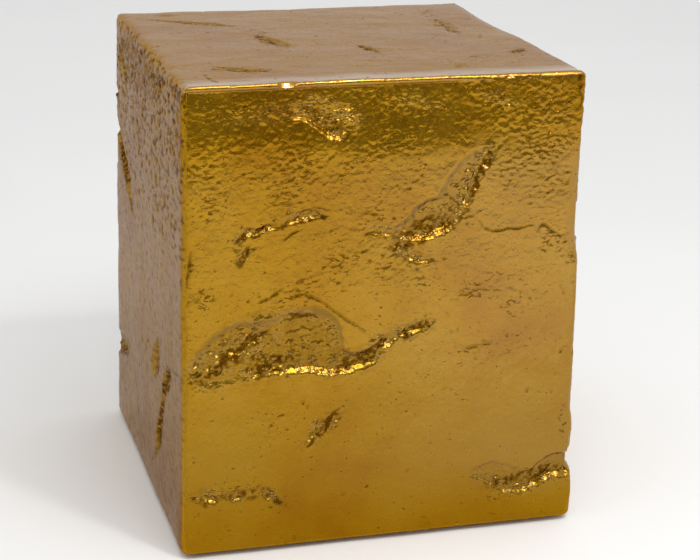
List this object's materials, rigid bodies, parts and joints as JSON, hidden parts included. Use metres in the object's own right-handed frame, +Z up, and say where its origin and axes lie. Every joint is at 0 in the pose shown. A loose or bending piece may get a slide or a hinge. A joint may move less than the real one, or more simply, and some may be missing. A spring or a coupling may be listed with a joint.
{
  "type": "block stool",
  "caption": "Square block stool or side table: a gold-leafed stone-effect casting on a bonded timber carcass, with screw-adjustable levelling glides.",
  "frame": {"origin": "on the floor, under the middle of the block", "axes": "+Z up towards the seat, -Y towards the front face, +X towards the right of a person facing the front face"},
  "size_m": [0.394, 0.394, 0.457],
  "materials": {
    "gold_leaf": "bright gold leaf over a cast stone-effect resin composite, under clear lacquer",
    "plywood": "bare plywood",
    "timber": "planed softwood",
    "resin_putty": "cured filled polyester resin",
    "black_panel": "black painted plywood",
    "screw_zinc": "yellow zinc plate",
    "nut_zinc": "bright zinc plate",
    "stud_steel": "bright zinc plate",
    "nylon": "black moulded nylon",
    "sole_rubber": "matte rubber"
  },
  "bodies": {
    "block": {"cast_shell": "gold_leaf", "seat_board": "plywood", "corner_post_front_left": "timber", "corner_post_front_right": "timber", "corner_post_back_right": "timber", "corner_post_back_left": "timber", "resin_fillet_front_left": "resin_putty", "resin_fillet_front_right": "resin_putty", "resin_fillet_back_right": "resin_putty", "resin_fillet_back_left": "resin_putty", "base_rail_front": "timber", "base_rail_right": "timber", "base_rail_back": "timber", "base_rail_left": "timber", "base_panel": "black_panel", "panel_screws": "screw_zinc", "tee_nut_front_left": "nut_zinc", "tee_nut_front_right": "nut_zinc", "tee_nut_back_right": "nut_zinc", "tee_nut_back_left": "nut_zinc"},
    "pad_front_left": {"glide_pad_front_left": "nylon", "glide_sole_front_left": "sole_rubber"},
    "stud_front_left": {"glide_stud_front_left": "stud_steel"},
    "pad_front_right": {"glide_pad_front_right": "nylon", "glide_sole_front_right": "sole_rubber"},
    "stud_front_right": {"glide_stud_front_right": "stud_steel"},
    "pad_back_right": {"glide_pad_back_right": "nylon", "glide_sole_back_right": "sole_rubber"},
    "stud_back_right": {"glide_stud_back_right": "stud_steel"},
    "pad_back_left": {"glide_pad_back_left": "nylon", "glide_sole_back_left": "sole_rubber"},
    "stud_back_left": {"glide_stud_back_left": "stud_steel"}
  },
  "joints": [
    {"name": "glide_lift_front_left", "type": "slide", "parent": "block", "child": "pad_front_left", "axis": [0, 0, 1], "range_m": [-0.01, 0.003]},
    {"name": "glide_turn_front_left", "type": "hinge", "parent": "pad_front_left", "child": "stud_front_left", "pos_m": [-0.14, -0.14, 0.03], "axis": [0, 0, 1], "range_deg": [-2881, 865]},
    {"name": "glide_lift_front_right", "type": "slide", "parent": "block", "child": "pad_front_right", "axis": [0, 0, 1], "range_m": [-0.01, 0.003]},
    {"name": "glide_turn_front_right", "type": "hinge", "parent": "pad_front_right", "child": "stud_front_right", "pos_m": [0.14, -0.14, 0.03], "axis": [0, 0, 1], "range_deg": [-2881, 865]},
    {"name": "glide_lift_back_right", "type": "slide", "parent": "block", "child": "pad_back_right", "axis": [0, 0, 1], "range_m": [-0.01, 0.003]},
    {"name": "glide_turn_back_right", "type": "hinge", "parent": "pad_back_right", "child": "stud_back_right", "pos_m": [0.14, 0.14, 0.03], "axis": [0, 0, 1], "range_deg": [-2881, 865]},
    {"name": "glide_lift_back_left", "type": "slide", "parent": "block", "child": "pad_back_left", "axis": [0, 0, 1], "range_m": [-0.01, 0.003]},
    {"name": "glide_turn_back_left", "type": "hinge", "parent": "pad_back_left", "child": "stud_back_left", "pos_m": [-0.14, 0.14, 0.03], "axis": [0, 0, 1], "range_deg": [-2881, 865]}
  ],
  "couplings": [
    {"joint": "glide_turn_front_left", "follows": "glide_lift_front_left", "rad_per_m": 5026.5},
    {"joint": "glide_turn_front_right", "follows": "glide_lift_front_right", "rad_per_m": 5026.5},
    {"joint": "glide_turn_back_right", "follows": "glide_lift_back_right", "rad_per_m": 5026.5},
    {"joint": "glide_turn_back_left", "follows": "glide_lift_back_left", "rad_per_m": 5026.5}
  ]
}
